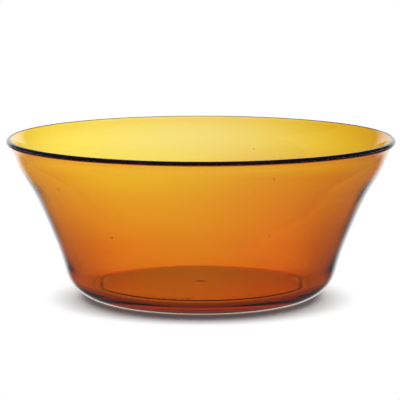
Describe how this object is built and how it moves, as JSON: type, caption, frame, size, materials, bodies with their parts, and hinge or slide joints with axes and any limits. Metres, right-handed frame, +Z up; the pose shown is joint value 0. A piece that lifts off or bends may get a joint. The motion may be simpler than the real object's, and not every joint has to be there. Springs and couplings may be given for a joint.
{
  "type": "glass bowl",
  "caption": "Clear amber pressed-glass salad bowl with a flared wall, a rounded lip and a flat annular foot around a shallow recess.",
  "frame": {"origin": "centre of the foot ring, on the table plane", "axes": "+Z up along the bowl's axis of revolution; the plain raised mould marks under the floor are on the -Y side"},
  "size_m": [0.23, 0.23, 0.0943],
  "materials": {
    "amber_glass": "clear fire-polished amber glass, tinted through its mass"
  },
  "bodies": {
    "root": {"bowl": "amber_glass"}
  },
  "joints": []
}
